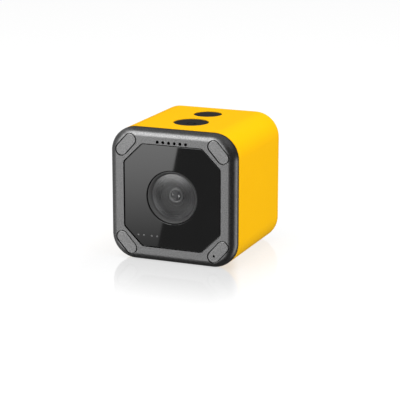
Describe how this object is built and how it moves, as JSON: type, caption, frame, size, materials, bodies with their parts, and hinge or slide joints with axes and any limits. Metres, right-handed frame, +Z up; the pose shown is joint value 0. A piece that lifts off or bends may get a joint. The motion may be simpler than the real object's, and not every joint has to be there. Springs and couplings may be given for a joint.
{
  "type": "cube action camera",
  "caption": "Small cube-shaped action camera with a rounded housing, dark front frame, octagonal window, domed lens, top buttons and a hinged rear port door.",
  "frame": {"origin": "centre of the underside, at the bottom of the bounding box", "axes": "+Z up, the lens looks along -Y, +X to the right seen from the front"},
  "size_m": [0.038, 0.0364, 0.0382],
  "materials": {
    "housing": "satin yellow plastic",
    "bezel": "fine-grained dark grey metallic",
    "pad": "fine-grained mid grey metallic",
    "window": "polished black",
    "seal_rubber": "matt black",
    "lens_glass": "coated",
    "filter_glass": "coated",
    "lens_black": "black",
    "button_black": "satin black",
    "cover_black": "fine-textured dark grey",
    "screw_steel": "bright",
    "board_green": "solder mask",
    "chip_black": "moulded",
    "can_metal": "plain",
    "flex_orange": "film",
    "battery_foil": "foil",
    "adhesive": "sheet",
    "mesh_cloth": "fine cloth",
    "light_guide": "clear",
    "brass_insert": "machined"
  },
  "bodies": {
    "body": {"battery_adhesive": "adhesive", "battery_cell": "battery_foil", "bezel_gasket": "seal_rubber", "bezel_screws": "screw_steel", "body_shell": "housing", "button_board": "board_green", "button_board_screws": "screw_steel", "button_flex": "flex_orange", "button_switches": "can_metal", "chassis_screws": "screw_steel", "corner_pad_bottom_left": "pad", "corner_pad_bottom_right": "pad", "corner_pad_top_left": "pad", "corner_pad_top_right": "pad", "front_bezel": "bezel", "front_chassis": "lens_black", "front_window": "window", "image_sensor": "chip_black", "ir_filter": "filter_glass", "lens_barrel": "lens_black", "lens_front_element": "lens_glass", "lens_holder": "lens_black", "lens_inner_element": "lens_glass", "lens_middle_element": "lens_glass", "lens_rear_element": "lens_glass", "lens_retainer_ring": "lens_black", "lens_seal": "seal_rubber", "lens_trim_ring": "lens_black", "main_board": "board_green", "main_board_screws": "screw_steel", "memory_chips": "chip_black", "micro_sd_socket": "can_metal", "microphone": "can_metal", "mid_frame": "lens_black", "mid_frame_screws": "screw_steel", "port_door_hinge_pin": "screw_steel", "power_button_guide": "button_black", "processor": "chip_black", "processor_shield": "can_metal", "rear_cover": "cover_black", "rear_cover_gasket": "seal_rubber", "rear_cover_screws": "screw_steel", "sensor_board": "board_green", "sensor_flex": "flex_orange", "shutter_button_guide": "button_black", "speaker": "chip_black", "speaker_mesh": "mesh_cloth", "status_board": "board_green", "status_leds": "light_guide", "status_light_guides": "light_guide", "tripod_insert": "brass_insert", "usb_c_socket": "can_metal", "wifi_antenna": "flex_orange", "window_seal": "seal_rubber"},
    "shutter": {"shutter_button": "button_black"},
    "power": {"power_button": "button_black"},
    "port_door": {"port_door": "cover_black", "port_door_gasket": "seal_rubber"},
    "port_latch": {"port_door_latch": "cover_black"},
    "memory_card": {"micro_sd_card": "chip_black"}
  },
  "joints": [
    {"name": "shutter_button_press", "type": "slide", "parent": "body", "child": "shutter", "axis": [0, 0, -1], "range_m": [0, 0.0005], "stiffness_N_per_m": 800},
    {"name": "power_button_press", "type": "slide", "parent": "body", "child": "power", "axis": [0, 0, -1], "range_m": [0, 0.0005], "stiffness_N_per_m": 800},
    {"name": "port_door_hinge", "type": "hinge", "parent": "body", "child": "port_door", "pos_m": [-0.0076, 0.0172, 0.0104], "axis": [0, 0, 1], "range_deg": [0, 95]},
    {"name": "port_latch_slide", "type": "slide", "parent": "port_door", "child": "port_latch", "axis": [1, 0, 0], "range_m": [0, 0.0012]},
    {"name": "memory_card_slide", "type": "slide", "parent": "body", "child": "memory_card", "axis": [0, 1, 0], "range_m": [0, 0.0015]}
  ]
}
